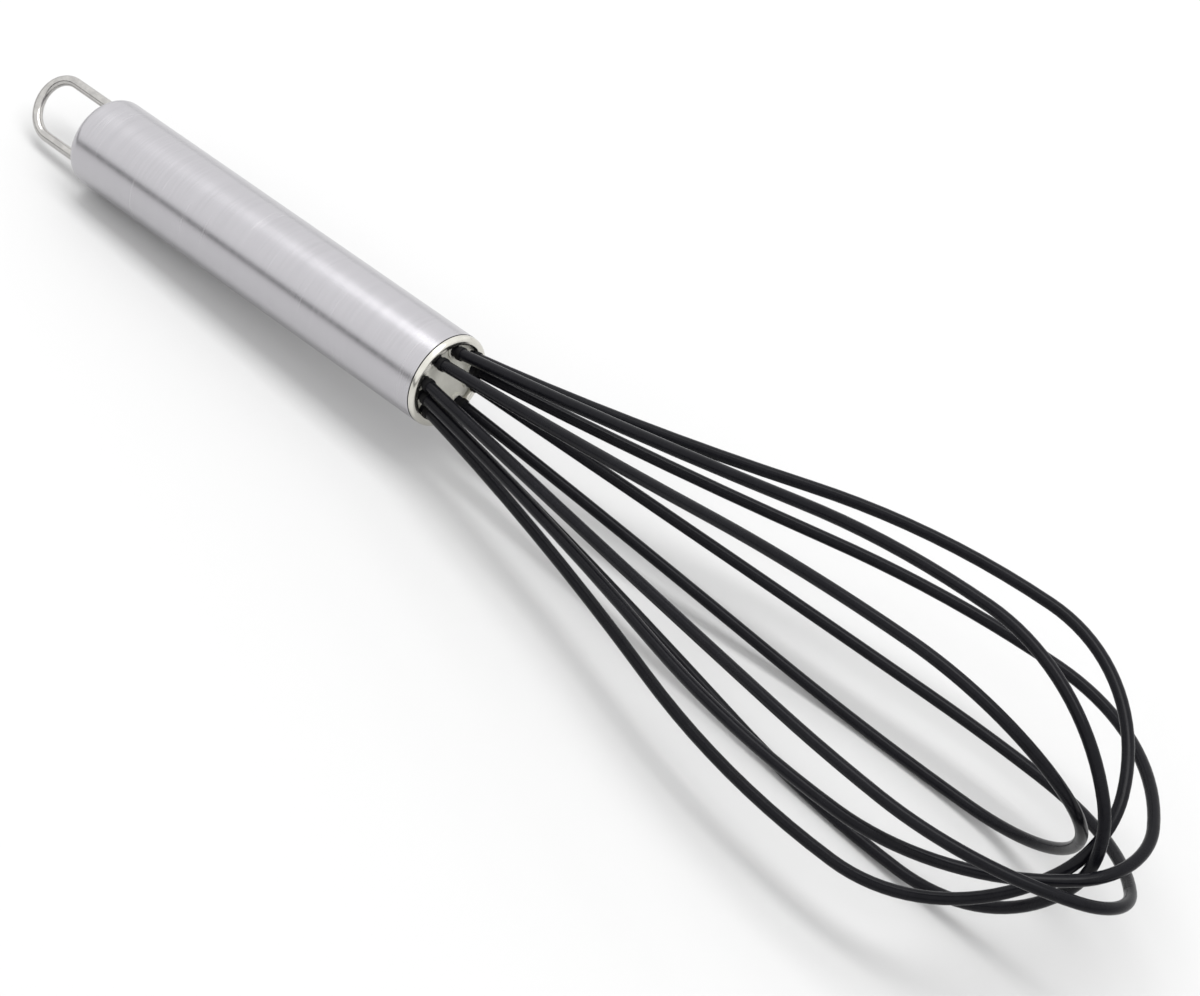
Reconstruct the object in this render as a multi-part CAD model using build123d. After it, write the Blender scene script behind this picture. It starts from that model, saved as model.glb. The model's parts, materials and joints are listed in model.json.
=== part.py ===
from build123d import *
import os
from collections import namedtuple
from math import atan2, cos, degrees, radians, sin, tan

# Balloon whisk: a round steel handle with a hanging loop at its tail, and five nested
# loops of rubber-coated steel wire held by a plug in the handle's mouth.
#
# Everything is first built in the whisk's own frame, in millimetres: +Z runs along the
# handle's centre line from tail to balloon tip, with Z = 0 at the handle's mouth. The last
# step lays the whisk down as it rests on a table: +X from tail to tip and +Z up.

# ---- driving dimensions: handle ----
HANDLE_RADIUS = 11.0
HANDLE_LENGTH = 116.5
TUBE_WALL = 0.8
TAIL_WALL = 1.0
TAIL_ROUNDING = 2.8
BORE_RADIUS = HANDLE_RADIUS - TUBE_WALL
CLEARANCE = 0.05                # between parts that are assembled by hand or pressed

# ---- driving dimensions: hanging loop at the tail ----
HANG_WIRE_RADIUS = 1.25
HANG_HALF_WIDTH = 7.15          # centre line of the wire to the handle's centre line
HANG_REACH = 138.8              # from the mouth to the wire's centre at the top of the bend
HANG_TURN = 8.0                 # turn of the loop's plane round the handle, degrees
HANG_INSIDE = 110.0             # where the wire ends inside the handle
ANCHOR_THICKNESS = 3.0
ANCHOR_ROUNDING = 2.3
COLLAR_RADIUS = 2.4
COLLAR_LENGTH = 2.2

# ---- driving dimensions: mouth ring and its seal ----
RING_BORE = 9.0
RING_LIP_TOP = 1.6
RING_SPIGOT_DEPTH = 6.0
RING_OUTER_ROUNDING = 0.9
RING_INNER_ROUNDING = 0.5
SEAL_THICKNESS = 0.26

# ---- driving dimensions: coated wire ----
CORE_RADIUS = 0.88
COATING_BORE = 0.9
COATING_RADIUS = 1.3
CORE_END = -22.0                # bare wire ends, set in resin inside the handle
COATING_END = -6.0             # the coating is stripped below this
INNER_BEND_START = -5.0         # below this the ten legs run parallel to the handle
LEG_RADIUS_INSIDE = 7.0
INNER_BEND_RADIUS = 33.0
LEG_SLOPE = 9.4                 # outward slope of a leg where it leaves the mouth, degrees
SHOULDER_RADIUS = 225.0         # gentle inward arc that leads to the widest place
TIP_FULLNESS = 0.81             # tip radius, as a share of that of a true half ellipse

# ---- driving dimensions: the five wire loops ----
# turn: angle of the loop's plane round the handle; lean_out and lean_in: small tilts of the
# loop out of its own plane and within it, all in degrees. half_width: widest distance from
# the centre line. belly: height of the widest place. tip: height of the loop's end.
Loop = namedtuple("Loop", "turn lean_out lean_in half_width belly tip")
LOOPS = [
    Loop(turn=-12.0, lean_out=-0.2, lean_in=-0.1, half_width=33.7, belly=144.0, tip=184.3),
    Loop(turn=34.0, lean_out=1.1, lean_in=-0.1, half_width=31.6, belly=146.6, tip=187.0),
    Loop(turn=72.5, lean_out=0.0, lean_in=0.3, half_width=32.7, belly=143.5, tip=179.7),
    Loop(turn=112.0, lean_out=2.3, lean_in=1.1, half_width=28.0, belly=154.8, tip=195.7),
    Loop(turn=136.2, lean_out=0.6, lean_in=-0.4, half_width=33.4, belly=145.5, tip=191.6),
]

# ---- driving dimensions: hub, its small rings and what holds it ----
HUB_FACE = 0.4
HUB_BASE = -5.5
STEM_RADIUS = 5.6
STEM_BOTTOM = -14.0
LEG_CLEARANCE = 0.05            # between a leg and the hole that it passes through
RIM_RADIUS = 1.75               # raised rim of each leg's hole
RIM_HEIGHT = 0.45
RIM_ROUNDING = 0.15
GROMMET_RADIUS = 1.55
GROMMET_HEIGHT = 2.6
GROMMET_LENGTH = 1.3
GROMMET_ROUNDING = 0.2
CUTTER_REACH = 25.0             # how far the leg cutters run past the mouth
CRIMP_BOTTOM = -12.0
CRIMP_TOP = -7.0
CRIMP_THICKNESS = 0.7
CRIMP_ALLOWANCE = 0.35          # takes up the small leans of the loops
BACKING_THICKNESS = 1.8
RESIN_BOTTOM = -26.0
SCREW_RADIUS = 1.8
SCREW_TOP = -4.0
SCREW_HEAD_RADIUS = 3.2
SCREW_HEAD_HEIGHT = 2.2
SCREW_SLOT_WIDTH = 0.9
SCREW_SLOT_DEPTH = 1.0

# ---- driving dimensions: how the whisk lies on a table ----
UP_TURN = 50.1                  # direction round the handle that faces up, degrees
REST_TILT = 4.6                 # rise of the centre line towards the tip, degrees


# ---------------------------------------------------------------- small helpers

def disc(radius, bottom, top):
    """A solid cylinder on the whisk's centre line between two heights."""
    return Pos(0, 0, (bottom + top) / 2) * Cylinder(radius, top - bottom)


def tube(outer, inner, bottom, top):
    """A round sleeve on the whisk's centre line between two heights."""
    return disc(outer, bottom, top) - disc(inner, bottom - 1, top + 1)


def rounded_edge(solid, height, radius, rounding):
    """Round the circular edge of the given height and radius."""
    def on_edge(edge):
        centre = edge.arc_center
        return abs(centre.Z - height) < 1e-4 and abs(edge.radius - radius) < 1e-4
    edges = [e for e in solid.edges().filter_by(GeomType.CIRCLE) if on_edge(e)]
    return fillet(edges, rounding)


def swept(path, section):
    """A planar section drawn round the origin, swept along a smooth wire from its start."""
    start = Plane(origin=path @ 0, z_dir=path % 0)
    return Solid.sweep((start * section).face(), path)


# ---------------------------------------------------------------- wire loops

def loop_shape(loop):
    """Radii, in mm, and slopes, in radians, of the arcs of one half of a loop.

    The leg leaves the hub at LEG_SLOPE, follows a long arc to the shoulder, bends inward to
    the widest place, and closes with a belly arc and a smaller tip arc.
    """
    width = loop.half_width
    rise = loop.tip - loop.belly
    tip_radius = TIP_FULLNESS * width ** 2 / rise
    belly_radius = (rise ** 2 - 2 * rise * tip_radius + width ** 2) / (2 * (width - tip_radius))
    closing = atan2(rise - tip_radius, belly_radius - width)

    leave = radians(LEG_SLOPE)
    start_height = INNER_BEND_START + INNER_BEND_RADIUS * sin(leave)
    start_radius = LEG_RADIUS_INSIDE + INNER_BEND_RADIUS * (1 - cos(leave))
    shoulder = leave
    for _ in range(30):         # settles the shoulder's slope, which closes the leg's line
        run = loop.belly - SHOULDER_RADIUS * sin(shoulder) - start_height
        climb = width - SHOULDER_RADIUS * (1 - cos(shoulder)) - start_radius
        shoulder = 2 * atan2(climb, run) - leave
    leg_radius = run / (sin(shoulder) - sin(leave))
    return {
        "slopes": [0, leave, shoulder, 0, -closing],
        "radii": [INNER_BEND_RADIUS, leg_radius, -SHOULDER_RADIUS, -belly_radius],
        "tip_radius": tip_radius,
    }


def loop_path(loop, end_height):
    """The centre line of a loop in its own plane: X is outward, Z is along the handle."""
    shape = loop_shape(loop)
    half_slopes = shape["slopes"]
    half_turn = radians(180)
    slopes = half_slopes + [-half_turn - s for s in reversed(half_slopes)]
    radii = shape["radii"] + [-shape["tip_radius"]] + list(reversed(shape["radii"]))

    x, z = LEG_RADIUS_INSIDE, INNER_BEND_START
    edges = [Edge.make_line((x, 0, end_height), (x, 0, z))]
    for first, last, radius in zip(slopes, slopes[1:], radii):
        middle = (first + last) / 2
        points = [(x + radius * (cos(first) - cos(s)), 0, z + radius * (sin(s) - sin(first)))
                  for s in (first, middle, last)]
        edges.append(Edge.make_three_point_arc(*points))
        x, z = points[-1][0], points[-1][2]
    edges.append(Edge.make_line((x, 0, z), (x, 0, end_height)))
    return Wire(edges)


def loop_place(loop):
    """Where a loop's own plane stands in the whisk."""
    return Rot(0, 0, loop.turn) * Rot(-loop.lean_out, loop.lean_in, 0)


def loop_solid(loop, end_height, radius, bore=None):
    """A round wire, or a round sleeve if a bore is given, along a whole loop."""
    path = loop_path(loop, end_height)
    solid = swept(path, Circle(radius))
    if bore:
        solid = solid - swept(path, Circle(bore))
    return loop_place(loop) * solid


def leg_cutters(loop, end_height, radius):
    """Two short cutters along the legs, from inside the handle to well past the mouth."""
    x, z = LEG_RADIUS_INSIDE, INNER_BEND_START
    leave = radians(LEG_SLOPE)
    bend = [(x + INNER_BEND_RADIUS * (1 - cos(s)), 0, z + INNER_BEND_RADIUS * sin(s))
            for s in (0, leave / 2, leave)]
    beyond = (bend[-1][0] + CUTTER_REACH * sin(leave), 0, bend[-1][2] + CUTTER_REACH * cos(leave))
    path = Wire([
        Edge.make_line((x, 0, end_height), (x, 0, z)),
        Edge.make_three_point_arc(*bend),
        Edge.make_line(bend[-1], beyond),
    ])
    cutter = swept(path, Circle(radius))
    return [loop_place(loop) * side for side in (cutter, mirror(cutter, Plane.YZ))]


def cut_legs(solid, end_height, radius):
    """The solid with room cut in it for all ten legs."""
    return solid - [cutter for loop in LOOPS for cutter in leg_cutters(loop, end_height, radius)]


def leg_stations(loop, height):
    """Places on a loop's two legs at a height just above the mouth, with Z along the wire."""
    shape = loop_shape(loop)
    leave = shape["slopes"][1]
    leg_radius = shape["radii"][1]
    start_height = INNER_BEND_START + INNER_BEND_RADIUS * sin(leave)
    start_radius = LEG_RADIUS_INSIDE + INNER_BEND_RADIUS * (1 - cos(leave))
    climb = height - start_height
    slope = leave + climb / leg_radius
    outward = start_radius + climb * tan((leave + slope) / 2)
    return [
        loop_place(loop) * Pos(side * outward, 0, height) * Rot(0, side * degrees(slope), 0)
        for side in (1, -1)
    ]


# ---------------------------------------------------------------- handle

def handle_tube():
    """Drawn tube, closed and rounded at the tail, with two holes for the hanging loop."""
    outer = rounded_edge(disc(HANDLE_RADIUS, -HANDLE_LENGTH, 0), -HANDLE_LENGTH, HANDLE_RADIUS,
                         TAIL_ROUNDING)
    floor = -HANDLE_LENGTH + TAIL_WALL
    inner = rounded_edge(disc(BORE_RADIUS, floor, 1), floor, BORE_RADIUS,
                         TAIL_ROUNDING - TUBE_WALL)
    return outer - inner - hang_legs(HANG_WIRE_RADIUS + CLEARANCE)


def hang_legs(radius):
    """Two straight cutters along the hanging loop's legs."""
    leg = Pos(HANG_HALF_WIDTH, 0, -HANDLE_LENGTH) * Cylinder(radius, 20)
    return Rot(0, 0, HANG_TURN) * (leg + mirror(leg, Plane.YZ))


def hanging_loop():
    """A U of polished wire: two straight legs and a half-round bend."""
    bend_height = -(HANG_REACH - HANG_HALF_WIDTH)
    path = Wire([
        Edge.make_line((HANG_HALF_WIDTH, 0, -HANG_INSIDE), (HANG_HALF_WIDTH, 0, bend_height)),
        Edge.make_three_point_arc((HANG_HALF_WIDTH, 0, bend_height), (0, 0, -HANG_REACH),
                                  (-HANG_HALF_WIDTH, 0, bend_height)),
        Edge.make_line((-HANG_HALF_WIDTH, 0, bend_height), (-HANG_HALF_WIDTH, 0, -HANG_INSIDE)),
    ])
    return Rot(0, 0, HANG_TURN) * swept(path, Circle(HANG_WIRE_RADIUS))


def loop_anchor_plate():
    """Disc inside the tail that the hanging loop's legs pass through."""
    bottom = -HANDLE_LENGTH + TAIL_WALL + CLEARANCE
    radius = BORE_RADIUS - CLEARANCE
    plate = rounded_edge(disc(radius, bottom, bottom + ANCHOR_THICKNESS), bottom, radius,
                         ANCHOR_ROUNDING)
    return plate - hang_legs(HANG_WIRE_RADIUS + CLEARANCE)


def loop_collars():
    """Crimped collars that stop the hanging loop's legs from pulling out."""
    bottom = -HANDLE_LENGTH + TAIL_WALL + 2 * CLEARANCE + ANCHOR_THICKNESS
    collar = tube(COLLAR_RADIUS, HANG_WIRE_RADIUS + CLEARANCE, bottom, bottom + COLLAR_LENGTH)
    pair = [Pos(side * HANG_HALF_WIDTH, 0, 0) * collar for side in (1, -1)]
    return Rot(0, 0, HANG_TURN) * Compound(pair)


# ---------------------------------------------------------------- mouth

def mouth_ring():
    """Polished ring: a rounded lip on the tube's end and a spigot inside the tube."""
    lip_radius = HANDLE_RADIUS - CLEARANCE
    lip = rounded_edge(disc(lip_radius, SEAL_THICKNESS, RING_LIP_TOP), RING_LIP_TOP, lip_radius,
                       RING_OUTER_ROUNDING)
    spigot = disc(BORE_RADIUS - CLEARANCE, -RING_SPIGOT_DEPTH, SEAL_THICKNESS)
    ring = lip + spigot - disc(RING_BORE, -RING_SPIGOT_DEPTH - 1, RING_LIP_TOP + 1)
    return rounded_edge(ring, RING_LIP_TOP, RING_BORE, RING_INNER_ROUNDING)


def ring_seal():
    """Thin flat gasket between the tube's end and the ring's lip."""
    gap = CLEARANCE / 5
    return tube(HANDLE_RADIUS - 2 * CLEARANCE, BORE_RADIUS, gap, SEAL_THICKNESS - gap)


def wire_hub():
    """Plug in the ring's bore, with a raised rim round each leg's hole, and a stem behind it."""
    rim = rounded_edge(disc(RIM_RADIUS, -RIM_HEIGHT, RIM_HEIGHT), RIM_HEIGHT, RIM_RADIUS,
                       RIM_ROUNDING)
    plug_radius = RING_BORE - CLEARANCE
    plug = disc(plug_radius, HUB_BASE, HUB_FACE)
    plug = plug + [place * rim for loop in LOOPS for place in leg_stations(loop, HUB_FACE)]
    plug = plug & disc(plug_radius, HUB_BASE, HUB_FACE + 1)
    plug = plug + disc(STEM_RADIUS, STEM_BOTTOM, HUB_BASE)
    plug = plug - disc(SCREW_RADIUS + CLEARANCE, STEM_BOTTOM - 1, SCREW_TOP + 1)
    return cut_legs(plug, STEM_BOTTOM - 1, COATING_RADIUS + LEG_CLEARANCE)


def wire_grommets():
    """Small rubber rings that seal the ten legs just outside the hub."""
    ring = Cylinder(GROMMET_RADIUS, GROMMET_LENGTH)
    ring = fillet(ring.edges().filter_by(GeomType.CIRCLE), GROMMET_ROUNDING)
    ring = ring - Cylinder(COATING_RADIUS + LEG_CLEARANCE, GROMMET_LENGTH + 1)
    return Compound([place * ring for loop in LOOPS for place in leg_stations(loop, GROMMET_HEIGHT)])


# ---------------------------------------------------------------- inside the handle

def crimp_collar():
    """Steel band round the ten legs, which binds them together behind the ring."""
    inner = LEG_RADIUS_INSIDE + CORE_RADIUS + CRIMP_ALLOWANCE
    return tube(inner + CRIMP_THICKNESS, inner, CRIMP_BOTTOM, CRIMP_TOP)


def backing_plate():
    """Disc behind the hub that the bare wires pass through and the screw pulls on."""
    top = STEM_BOTTOM - CLEARANCE
    plate = disc(BORE_RADIUS - CLEARANCE, top - BACKING_THICKNESS, top)
    plate = plate - disc(SCREW_RADIUS + CLEARANCE, top - BACKING_THICKNESS - 1, top + 1)
    return cut_legs(plate, CORE_END, CORE_RADIUS + CLEARANCE)


def hub_screw():
    """Slotted cheese-head screw that holds the backing plate to the hub's stem."""
    seat = STEM_BOTTOM - BACKING_THICKNESS - 2 * CLEARANCE
    head = disc(SCREW_HEAD_RADIUS, seat - SCREW_HEAD_HEIGHT, seat)
    slot = Pos(0, 0, seat - SCREW_HEAD_HEIGHT) * Box(3 * SCREW_HEAD_RADIUS, SCREW_SLOT_WIDTH,
                                                    2 * SCREW_SLOT_DEPTH)
    return head + disc(SCREW_RADIUS, seat, SCREW_TOP) - slot


def resin_plug():
    """Cast plug that seals the handle and grips the bare wire ends."""
    top = STEM_BOTTOM - BACKING_THICKNESS - 2 * CLEARANCE
    plug = disc(BORE_RADIUS - CLEARANCE, RESIN_BOTTOM, top)
    plug = plug - disc(SCREW_HEAD_RADIUS + CLEARANCE, top - SCREW_HEAD_HEIGHT - CLEARANCE, top + 1)
    return cut_legs(plug, CORE_END - CLEARANCE, CORE_RADIUS + CLEARANCE)


# ---------------------------------------------------------------- whole whisk

def build_nodes():
    """Every piece of the whisk by name, still in the whisk's own frame."""
    nodes = {
        "handle_tube": handle_tube(),
        "hanging_loop": hanging_loop(),
        "loop_anchor_plate": loop_anchor_plate(),
        "loop_collars": loop_collars(),
        "mouth_ring": mouth_ring(),
        "ring_seal": ring_seal(),
        "wire_hub": wire_hub(),
        "wire_grommets": wire_grommets(),
        "crimp_collar": crimp_collar(),
        "backing_plate": backing_plate(),
        "hub_screw": hub_screw(),
        "resin_plug": resin_plug(),
    }
    for number, loop in enumerate(LOOPS, start=1):
        nodes[f"wire_core_{number}"] = loop_solid(loop, CORE_END, CORE_RADIUS)
        nodes[f"wire_coating_{number}"] = loop_solid(loop, COATING_END, COATING_RADIUS,
                                                     COATING_BORE)
    return nodes


def lay_down(nodes):
    """Turn the whisk onto its side and put the origin under the middle of its box."""
    upright_to_lying = Location(Plane(origin=(0, 0, 0), x_dir=(0, 0, 1), z_dir=(1, 0, 0)))
    turned = Rot(0, -REST_TILT, 0) * upright_to_lying * Rot(0, 0, -UP_TURN)
    lying = {name: turned * shape for name, shape in nodes.items()}
    box = Compound(list(lying.values())).bounding_box()
    shift = Pos(-(box.min.X + box.max.X) / 2, -(box.min.Y + box.max.Y) / 2, -box.min.Z)
    return {name: shift * shape for name, shape in lying.items()}


def main():
    os.makedirs("parts", exist_ok=True)
    for name, shape in lay_down(build_nodes()).items():
        export_step(shape, f"parts/{name}.step")


main()
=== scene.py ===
import json
import math

import bpy
from mathutils import Matrix, Vector

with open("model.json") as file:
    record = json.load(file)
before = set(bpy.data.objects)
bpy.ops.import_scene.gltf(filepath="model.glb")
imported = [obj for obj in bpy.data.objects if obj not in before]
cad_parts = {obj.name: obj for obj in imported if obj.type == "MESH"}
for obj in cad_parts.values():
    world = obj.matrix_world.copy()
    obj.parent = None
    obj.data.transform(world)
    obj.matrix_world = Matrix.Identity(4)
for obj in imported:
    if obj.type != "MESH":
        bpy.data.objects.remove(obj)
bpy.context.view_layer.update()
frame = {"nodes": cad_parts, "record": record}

# ---- the whisk's own frame, worked out from the frame's grip mount ----
# Z runs from the handle's tail to the balloon's tip, with its origin at the handle's mouth.
MM = 0.001
GRIP = next(m for m in frame["record"]["mounts"] if m["name"] == "grip")
AXIS = -Vector(GRIP["axis"]).normalized()
MOUTH = Vector(GRIP["pos_m"]) + AXIS * GRIP["dims"]["length_mm"] * MM / 2
SIDE = Vector((0, 0, 1)).cross(AXIS).normalized()
WHISK = Matrix.Translation(MOUTH) @ Matrix((SIDE, AXIS.cross(SIDE), AXIS)).transposed().to_4x4()

# ---- camera ----
IMAGE_WIDTH = 1200
CAMERA_POSITION = Vector((0.39898, -0.44781, 0.58811))
CAMERA_AZIMUTH = math.radians(40.33)
CAMERA_ELEVATION = math.radians(44.03)
CAMERA_ROLL = math.radians(7.96)
CAMERA_FOCAL_PIXELS = 3892
CAMERA_NEAR = 0.01
SENSOR_WIDTH = 36.0

# ---- studio: a pale floor, one light overhead, and surroundings dark along the horizon ----
FLOOR_SIZE = 40
FLOOR_COLOUR = (0.56, 0.56, 0.56, 1)
FLOOR_ROUGHNESS = 0.9
OVERHEAD_PLACE = Vector((0.0, 0.13, 1.05))
OVERHEAD_SIZE = (1.5, 0.4)
OVERHEAD_POWER = 9.0
# Pairs of height and brightness. A direction's height counts as Z + SKY_TILT * (1 + Y), so the
# dark band is widest in front of the whisk and fades towards the far side.
SKY_STEPS = ((0.0, 0.04), (0.11, 0.06), (0.20, 0.94), (1.0, 1.0))
SKY_TILT = 0.08
SKY_STRENGTH = 1.25

# ---- materials ----
# The part of its 0 to 1 range that noise mostly keeps to.
NOISE_LOW = 0.3
NOISE_HIGH = 0.7


# ---------------------------------------------------------------- helpers

def turned_back(position, back):
    """Where a camera or light goes, with its rear in the direction of back and its Y up."""
    return Matrix.Translation(position) @ back.to_track_quat("Z", "Y").to_matrix().to_4x4()


def fill_ramp(ramp, stops):
    """Gives a new colour ramp its stops, pairs of position and colour in rising order."""
    elements = ramp.color_ramp.elements
    for position, _ in stops[1:-1]:
        elements.new(position)
    for element, (position, colour) in zip(elements, stops):
        element.position = position
        element.color = (*colour, 1)


class Nodes:
    """A material's node tree, with short calls for the patterns that the materials share."""

    def __init__(self, name):
        self.material = bpy.data.materials.new(name)
        self.material.use_nodes = True
        self.tree = self.material.node_tree
        self.shader = self.tree.nodes["Principled BSDF"]

    def add(self, kind, **settings):
        node = self.tree.nodes.new(kind)
        for key, value in settings.items():
            setattr(node, key, value)
        return node

    def join(self, source, target):
        self.tree.links.new(source, target)

    def set(self, **values):
        """Constants on the shader's own sockets, with an underscore for each space."""
        for key, value in values.items():
            self.shader.inputs[key.replace("_", " ")].default_value = value

    def whisk_place(self):
        """Places in the whisk's own frame, so that Z runs along the handle."""
        place = self.add("ShaderNodeTexCoord")
        turned = self.add("ShaderNodeMapping", vector_type="TEXTURE")
        turned.inputs["Location"].default_value = WHISK.to_translation()
        turned.inputs["Rotation"].default_value = WHISK.to_euler()
        self.join(place.outputs["Object"], turned.inputs["Vector"])
        return turned.outputs["Vector"]

    def noise(self, size, round_stretch=1, long_stretch=1, detail=3):
        """Noise with features of the given size, in metres, stretched to rings or to streaks."""
        shrink = self.add("ShaderNodeMapping", vector_type="POINT")
        shrink.inputs["Scale"].default_value = (1 / round_stretch, 1 / round_stretch, 1 / long_stretch)
        self.join(self.whisk_place(), shrink.inputs["Vector"])
        noise = self.add("ShaderNodeTexNoise")
        noise.inputs["Scale"].default_value = 1 / size
        noise.inputs["Detail"].default_value = detail
        self.join(shrink.outputs["Vector"], noise.inputs["Vector"])
        return noise.outputs["Fac"]

    def blend(self, first, second, share=0.5):
        """Two patterns mixed, the second with the given share."""
        mix = self.add("ShaderNodeMix", data_type="FLOAT")
        mix.inputs["Factor"].default_value = share
        self.join(first, mix.inputs["A"])
        self.join(second, mix.inputs["B"])
        return mix.outputs["Result"]

    def colour(self, source, dark, light):
        """Base colour that runs from dark to light with the source."""
        ramp = self.add("ShaderNodeValToRGB")
        fill_ramp(ramp, ((NOISE_LOW, dark), (NOISE_HIGH, light)))
        self.join(source, ramp.inputs["Fac"])
        self.join(ramp.outputs["Color"], self.shader.inputs["Base Color"])

    def roughness(self, source, low, high):
        """Roughness that runs from low to high with the source."""
        spread = self.add("ShaderNodeMapRange")
        spread.inputs["From Min"].default_value = NOISE_LOW
        spread.inputs["From Max"].default_value = NOISE_HIGH
        spread.inputs["To Min"].default_value = low
        spread.inputs["To Max"].default_value = high
        self.join(source, spread.inputs["Value"])
        self.join(spread.outputs["Result"], self.shader.inputs["Roughness"])

    def bump(self, source, height, strength):
        """Fine relief of the given height, in metres."""
        bump = self.add("ShaderNodeBump")
        bump.inputs["Distance"].default_value = height
        bump.inputs["Strength"].default_value = strength
        self.join(source, bump.inputs["Height"])
        self.join(bump.outputs["Normal"], self.shader.inputs["Normal"])


# ---------------------------------------------------------------- camera and stage

def make_camera():
    data = bpy.data.cameras.new("camera")
    data.sensor_width = SENSOR_WIDTH
    data.lens = CAMERA_FOCAL_PIXELS / IMAGE_WIDTH * SENSOR_WIDTH
    data.clip_start = CAMERA_NEAR
    data.clip_end = FLOOR_SIZE
    camera = bpy.data.objects.new("camera", data)
    bpy.context.collection.objects.link(camera)
    back = Vector((math.sin(CAMERA_AZIMUTH) * math.cos(CAMERA_ELEVATION),
                   -math.cos(CAMERA_AZIMUTH) * math.cos(CAMERA_ELEVATION),
                   math.sin(CAMERA_ELEVATION)))
    camera.matrix_world = turned_back(CAMERA_POSITION, back) @ Matrix.Rotation(CAMERA_ROLL, 4, "Z")
    bpy.context.scene.camera = camera
    bpy.context.scene.view_settings.view_transform = "Standard"


def make_floor():
    bpy.ops.mesh.primitive_plane_add(size=FLOOR_SIZE, location=(0, 0, 0))
    floor = bpy.context.object
    floor.name = "floor"
    nodes = Nodes("floor")
    nodes.set(Base_Color=FLOOR_COLOUR, Roughness=FLOOR_ROUGHNESS)
    floor.data.materials.append(nodes.material)


def make_overhead_light():
    """A soft rectangular light above, whose reflection is the bright streak on the handle."""
    data = bpy.data.lights.new("overhead", "AREA")
    data.shape = "RECTANGLE"
    data.size, data.size_y = OVERHEAD_SIZE
    data.energy = OVERHEAD_POWER
    light = bpy.data.objects.new("overhead", data)
    bpy.context.collection.objects.link(light)
    light.matrix_world = turned_back(OVERHEAD_PLACE, OVERHEAD_PLACE)


def make_sky():
    """Surroundings whose brightness goes by height; the dark band is the stripe on the handle."""
    world = bpy.data.worlds.new("studio")
    world.use_nodes = True
    tree = world.node_tree
    direction = tree.nodes.new("ShaderNodeTexCoord")
    lift = tree.nodes.new("ShaderNodeMapping")
    lift.inputs["Location"].default_value = (0, 0, SKY_TILT)
    height = tree.nodes.new("ShaderNodeVectorMath")
    height.operation = "DOT_PRODUCT"
    height.inputs[1].default_value = (0, SKY_TILT, 1)
    ramp = tree.nodes.new("ShaderNodeValToRGB")
    fill_ramp(ramp, [(step, (level, level, level)) for step, level in SKY_STEPS])
    background = tree.nodes["Background"]
    background.inputs["Strength"].default_value = SKY_STRENGTH
    tree.links.new(direction.outputs["Generated"], lift.inputs["Vector"])
    tree.links.new(lift.outputs["Vector"], height.inputs[0])
    tree.links.new(height.outputs["Value"], ramp.inputs["Fac"])
    tree.links.new(ramp.outputs["Color"], background.inputs["Color"])
    bpy.context.scene.world = world


# ---------------------------------------------------------------- materials

def brushed_handle():
    """Stainless steel brushed round the handle: fine rings, in slightly uneven bands."""
    nodes = Nodes("brushed_handle")
    rings = nodes.noise(size=0.35 * MM, round_stretch=50, detail=5)
    bands = nodes.noise(size=2.5 * MM, round_stretch=8)
    grain = nodes.blend(rings, bands, share=0.4)
    nodes.set(Metallic=1.0)
    nodes.colour(grain, dark=(0.462, 0.454, 0.474), light=(0.498, 0.489, 0.510))
    nodes.roughness(grain, low=0.22, high=0.28)
    nodes.bump(rings, height=0.006 * MM, strength=0.05)
    return nodes.material


def polished_ring():
    """Warm polished steel with the faint rings of turning."""
    nodes = Nodes("polished_ring")
    rings = nodes.noise(size=0.2 * MM, round_stretch=40)
    clouds = nodes.noise(size=4 * MM)
    nodes.set(Metallic=1.0)
    nodes.colour(clouds, dark=(0.62, 0.605, 0.55), light=(0.70, 0.685, 0.63))
    nodes.roughness(nodes.blend(rings, clouds), low=0.16, high=0.26)
    nodes.bump(rings, height=0.008 * MM, strength=0.15)
    return nodes.material


def polished_wire():
    """Bright drawn wire: long fine scratches from the die, and a few small marks."""
    nodes = Nodes("polished_wire")
    streaks = nodes.noise(size=0.25 * MM, long_stretch=40, detail=4)
    marks = nodes.noise(size=1.5 * MM, detail=5)
    nodes.set(Metallic=1.0)
    nodes.colour(marks, dark=(0.42, 0.41, 0.40), light=(0.52, 0.51, 0.49))
    nodes.roughness(streaks, low=0.10, high=0.22)
    nodes.bump(nodes.blend(streaks, marks, share=0.3), height=0.01 * MM, strength=0.2)
    return nodes.material


def plain_steel():
    """Turned or stamped steel of the hidden fittings."""
    nodes = Nodes("plain_steel")
    lines = nodes.noise(size=0.3 * MM, round_stretch=20)
    nodes.set(Metallic=1.0)
    nodes.colour(lines, dark=(0.50, 0.50, 0.49), light=(0.62, 0.62, 0.61))
    nodes.roughness(lines, low=0.28, high=0.42)
    nodes.bump(lines, height=0.01 * MM, strength=0.3)
    return nodes.material


def spring_wire():
    """Hard-drawn spring steel inside the coating."""
    nodes = Nodes("spring_wire")
    streaks = nodes.noise(size=0.2 * MM, long_stretch=30)
    nodes.set(Metallic=1.0)
    nodes.colour(streaks, dark=(0.52, 0.52, 0.53), light=(0.64, 0.64, 0.65))
    nodes.roughness(streaks, low=0.22, high=0.34)
    return nodes.material


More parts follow.
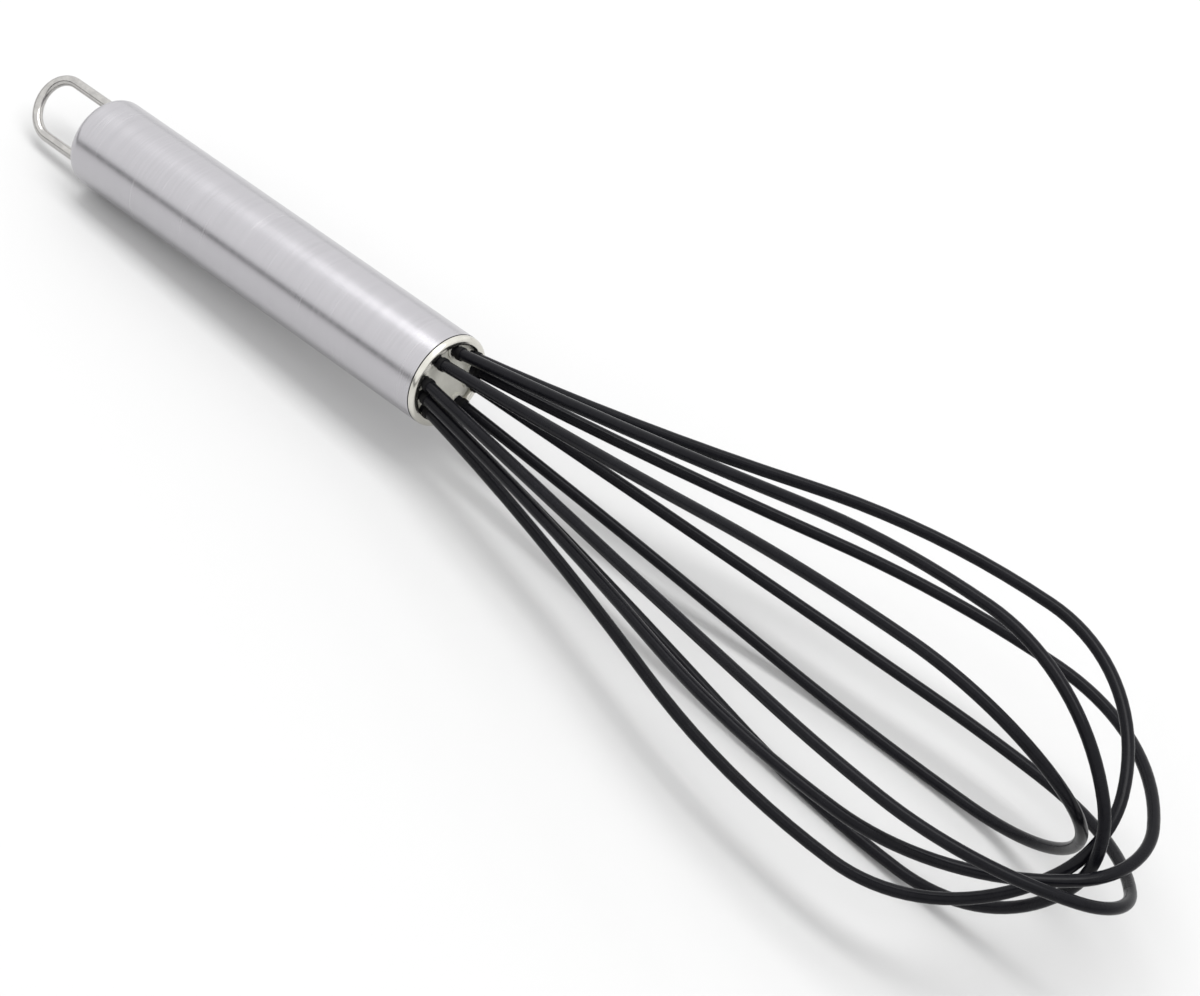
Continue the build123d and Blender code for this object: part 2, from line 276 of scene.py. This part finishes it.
def wire_coating():
    """Satin black silicone: a very fine skin texture, slow waves in its gloss, a trace of dust."""
    nodes = Nodes("wire_coating")
    skin = nodes.noise(size=0.22 * MM, detail=4)
    waves = nodes.noise(size=6 * MM, detail=2)
    dust = nodes.noise(size=0.9 * MM, detail=6)
    tint = nodes.blend(dust, waves, share=0.4)
    nodes.set(Specular_IOR_Level=0.12)
    nodes.colour(tint, dark=(0.0030, 0.0030, 0.0045), light=(0.0065, 0.0065, 0.0085))
    nodes.roughness(nodes.blend(waves, skin, share=0.35), low=0.20, high=0.31)
    nodes.bump(nodes.blend(skin, waves, share=0.3), height=0.015 * MM, strength=0.25)
    return nodes.material


def black_rubber():
    """Matte black rubber with a dull, slightly grainy skin."""
    nodes = Nodes("black_rubber")
    skin = nodes.noise(size=0.3 * MM, detail=5)
    nodes.set(Specular_IOR_Level=0.1)
    nodes.colour(skin, dark=(0.0035, 0.0035, 0.0040), light=(0.0065, 0.0065, 0.0070))
    nodes.roughness(skin, low=0.48, high=0.66)
    nodes.bump(skin, height=0.02 * MM, strength=0.4)
    return nodes.material


def hub_nylon():
    """Light grey moulded nylon: fine spark texture and faint cloudy colour."""
    nodes = Nodes("hub_nylon")
    clouds = nodes.noise(size=3 * MM)
    spark = nodes.noise(size=0.25 * MM, detail=5)
    tint = nodes.blend(clouds, spark, share=0.3)
    nodes.set(Specular_IOR_Level=0.45)
    nodes.colour(tint, dark=(0.60, 0.59, 0.53), light=(0.70, 0.69, 0.63))
    nodes.roughness(spark, low=0.42, high=0.60)
    nodes.bump(spark, height=0.02 * MM, strength=0.3)
    return nodes.material


def resin():
    """Cast amber resin with soft flow marks."""
    nodes = Nodes("resin")
    flow = nodes.noise(size=4 * MM, detail=2)
    nodes.set(Coat_Weight=0.3, Coat_Roughness=0.1)
    nodes.colour(flow, dark=(0.58, 0.48, 0.30), light=(0.70, 0.62, 0.44))
    nodes.roughness(flow, low=0.20, high=0.34)
    nodes.bump(flow, height=0.1 * MM, strength=0.2)
    return nodes.material


def dress_nodes():
    """Gives every CAD node the material of its slot in the record."""
    makers = {maker.__name__: maker for maker in (
        brushed_handle, polished_ring, polished_wire, plain_steel, spring_wire, wire_coating,
        black_rubber, hub_nylon, resin)}
    made = {}
    for part in frame["record"]["subparts"]:
        slot = part["material_slot"]
        if slot not in made:
            made[slot] = makers[slot]()
        frame["nodes"][part["node"]].data.materials[0] = made[slot]


make_camera()
make_floor()
make_overhead_light()
make_sky()
dress_nodes()
